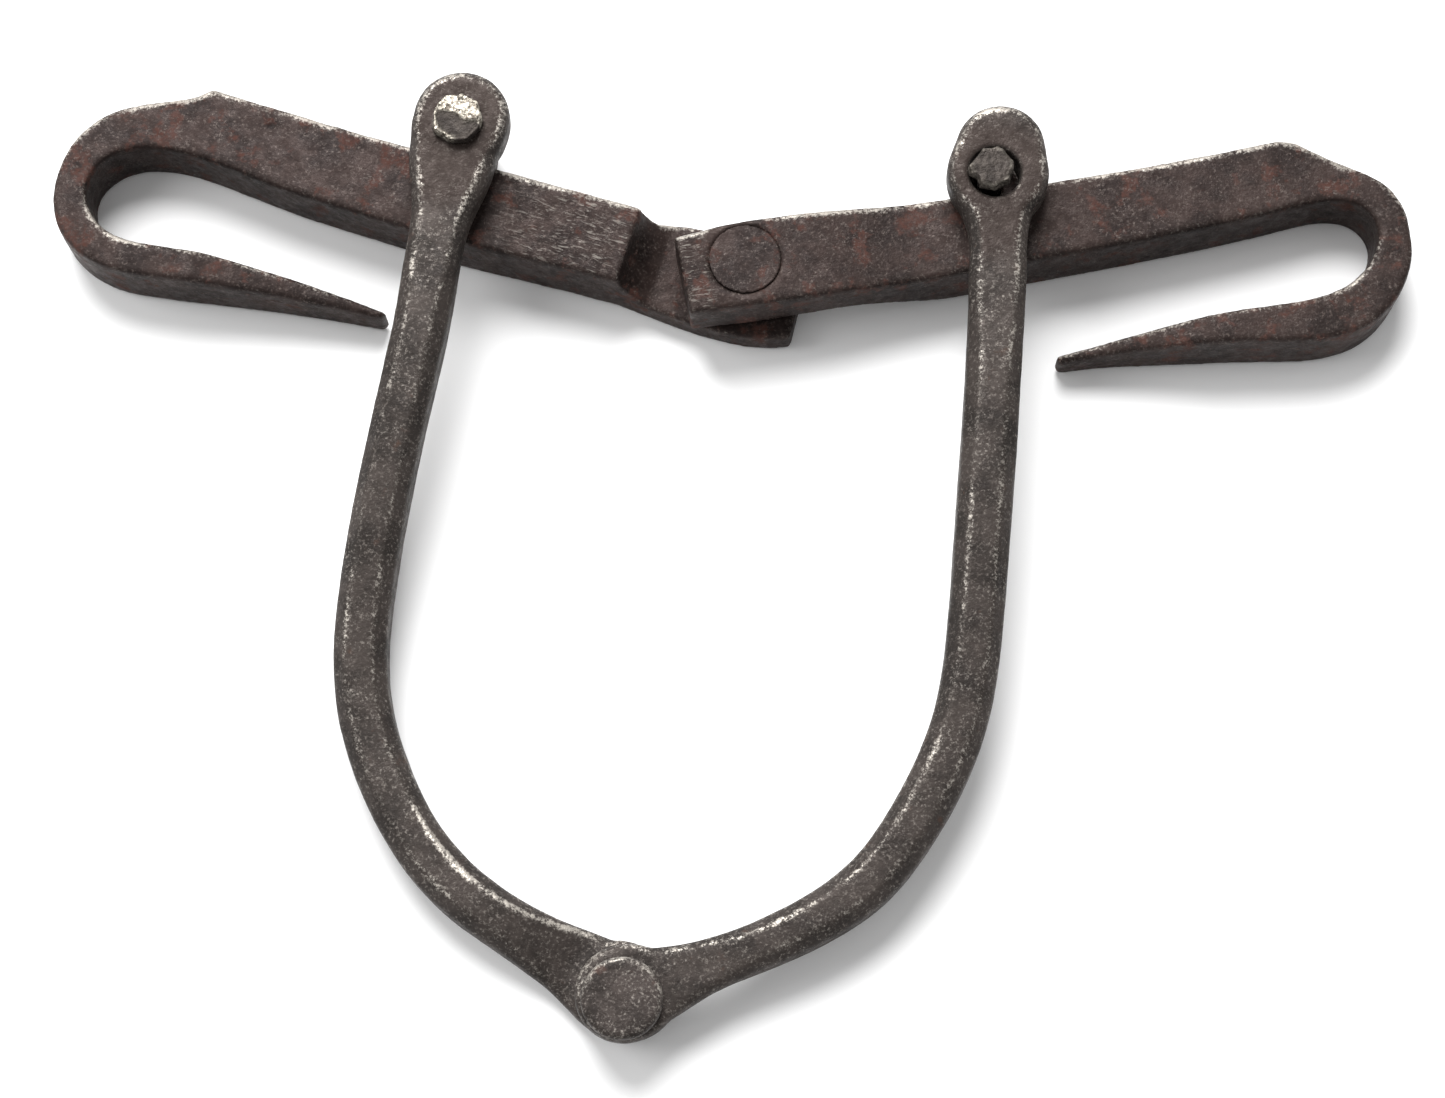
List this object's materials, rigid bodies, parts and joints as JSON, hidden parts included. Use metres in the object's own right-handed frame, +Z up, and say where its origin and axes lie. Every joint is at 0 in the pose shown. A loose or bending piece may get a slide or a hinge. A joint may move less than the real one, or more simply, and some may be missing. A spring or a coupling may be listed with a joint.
{
  "type": "folding hook linkage",
  "caption": "Folding forged iron linkage: bars ending in long narrow hooks hinge at their middle and carry arms that meet in a loop, so pulling the hooks back squeezes the loop.",
  "frame": {"origin": "centre of the part's bounding box in plan, at the level the part lies on", "axes": "+X from the left hook to the right hook with the two bars sloping equally, +Y from the loop rivet towards the hook bars, +Z up along every rivet"},
  "size_m": [0.2864, 0.1991, 0.0281],
  "materials": {
    "bar_iron": "aged forged iron with brown patina and worn edges",
    "arm_iron": "aged forged iron, grey-brown, finely pitted",
    "rivet_iron": "dark peened iron",
    "bright_iron": "hammered, freshly broken bright metal"
  },
  "bodies": {
    "left_bar": {"left_hook_bar": "bar_iron", "centre_rivet": "rivet_iron", "left_eye_rivet": "bright_iron"},
    "right_bar": {"right_hook_bar": "bar_iron", "right_eye_rivet": "rivet_iron"},
    "left_arm_body": {"left_arm": "arm_iron", "loop_rivet": "rivet_iron"},
    "right_arm_body": {"right_arm": "arm_iron"}
  },
  "joints": [
    {"name": "centre_hinge", "type": "hinge", "parent": "left_bar", "child": "right_bar", "pos_m": [0.00384, 0.063, 0.01], "axis": [0, 0, 1], "range_deg": [-15, 30]},
    {"name": "left_eye_hinge", "type": "hinge", "parent": "left_bar", "child": "left_arm_body", "pos_m": [-0.05786, 0.0877, 0.02], "axis": [0, 0, 1], "range_deg": [-5.5, 11]},
    {"name": "loop_hinge", "type": "hinge", "parent": "left_arm_body", "child": "right_arm_body", "pos_m": [-0.01086, -0.0911, 0.006], "axis": [0, 0, 1], "range_deg": [-2.3, 4.5]}
  ],
  "couplings": [
    {"joint": "left_eye_hinge", "follows": "centre_hinge", "ratio": 0.3609},
    {"joint": "loop_hinge", "follows": "centre_hinge", "ratio": 0.1446}
  ]
}
